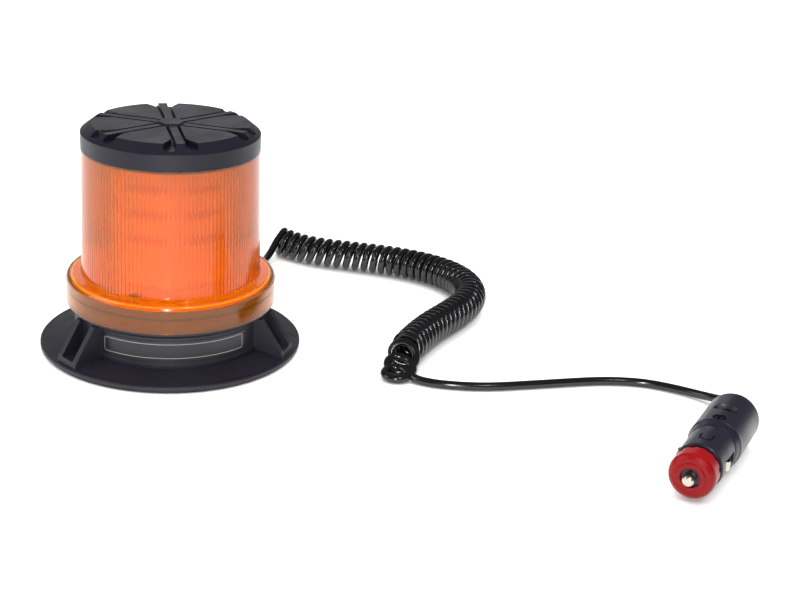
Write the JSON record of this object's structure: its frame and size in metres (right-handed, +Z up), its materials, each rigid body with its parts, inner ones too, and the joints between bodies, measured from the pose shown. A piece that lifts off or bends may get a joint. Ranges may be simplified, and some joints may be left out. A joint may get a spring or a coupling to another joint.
{
  "type": "magnetic led beacon",
  "caption": "Magnetic amber LED warning beacon with ribbed lens, flanged base, curly supply cord and a sprung two-form vehicle power plug.",
  "frame": {"origin": "centre of the rubber foot's underside, on the surface the beacon stands on", "axes": "+Z up through the light tower and the cap; -Y is the front, where the label field is; the cord leaves towards +X and +Y"},
  "size_m": [0.3288, 0.3408, 0.117],
  "materials": {
    "black_housing": "fine moulded grain",
    "label_film": "satin film",
    "foot_rubber": "matte",
    "ferrite": "ground",
    "zinc_steel": "zinc plated",
    "amber_lens": "clear amber polycarbonate",
    "seal_rubber": "matte",
    "black_cap": "satin",
    "white_plastic": "gloss",
    "tower_aluminium": "extruded",
    "led_package": "yellow phosphor in clear resin",
    "circuit_board": "solder mask",
    "capacitor_can": "sleeved",
    "chip_black": "epoxy",
    "wire_jacket": "PVC",
    "cord_black": "glossy polyurethane",
    "plug_black": "satin",
    "nickel": "nickel plated",
    "fuse_glass": "clear",
    "red_adaptor": "translucent red",
    "led_board_white": "white solder mask"
  },
  "bodies": {
    "beacon": {"base_housing": "black_housing", "board_screws": "zinc_steel", "cap_gasket": "seal_rubber", "capacitors": "capacitor_can", "clamp_screws": "zinc_steel", "controller_chips": "chip_black", "cord_clamp": "black_housing", "cord_coil": "cord_black", "cord_gland": "cord_black", "cord_lead_in": "cord_black", "cord_lead_out": "cord_black", "cord_tail": "cord_black", "deck_screws": "zinc_steel", "driver_board": "circuit_board", "feed_wires": "wire_jacket", "fuse_caps": "nickel", "fuse_tube": "fuse_glass", "harness_socket": "white_plastic", "inductor": "ferrite", "led_board_1": "led_board_white", "led_board_2": "led_board_white", "led_board_3": "led_board_white", "led_board_4": "led_board_white", "led_board_5": "led_board_white", "led_board_6": "led_board_white", "led_packages": "led_package", "led_tower": "tower_aluminium", "lens": "amber_lens", "lens_seal": "seal_rubber", "magnet_yoke": "zinc_steel", "pin_spring": "zinc_steel", "plug_cord_tail": "cord_black", "plug_handle": "plug_black", "plug_neck": "plug_black", "plug_relief": "cord_black", "plug_screw": "zinc_steel", "plug_wires": "wire_jacket", "rating_label": "label_film", "reflector_deck": "white_plastic", "ring_magnet": "ferrite", "rubber_foot": "foot_rubber", "terminal_block": "white_plastic", "top_cap": "black_cap", "tower_harness": "wire_jacket", "tower_lid": "white_plastic", "tower_screws": "zinc_steel", "yoke_bolts": "zinc_steel"},
    "centre_pin": {"contact_pin": "nickel"},
    "left_contact": {"side_contact_left": "nickel"},
    "right_contact": {"side_contact_right": "nickel"},
    "plug_adaptor": {"adaptor": "red_adaptor"}
  },
  "joints": [
    {"name": "pin_press", "type": "slide", "parent": "beacon", "child": "centre_pin", "axis": [0.6157, 0.788, 0], "range_m": [0, 0.003], "stiffness_N_per_m": 1500, "springref_m": -0.002, "deforming": ["pin_spring"]},
    {"name": "left_contact_flex", "type": "hinge", "parent": "beacon", "child": "left_contact", "pos_m": [0.21756, -0.16933, 0.0123], "axis": [0, 0, 1], "range_deg": [0, 6], "stiffness_Nm_per_rad": 0.1, "springref_deg": -2.86},
    {"name": "right_contact_flex", "type": "hinge", "parent": "beacon", "child": "right_contact", "pos_m": [0.23048, -0.17943, 0.0123], "axis": [0, 0, -1], "range_deg": [0, 6], "stiffness_Nm_per_rad": 0.1, "springref_deg": -2.86},
    {"name": "adaptor_pull", "type": "slide", "parent": "beacon", "child": "plug_adaptor", "axis": [-0.6157, -0.788, 0], "range_m": [0, 0.016]}
  ]
}
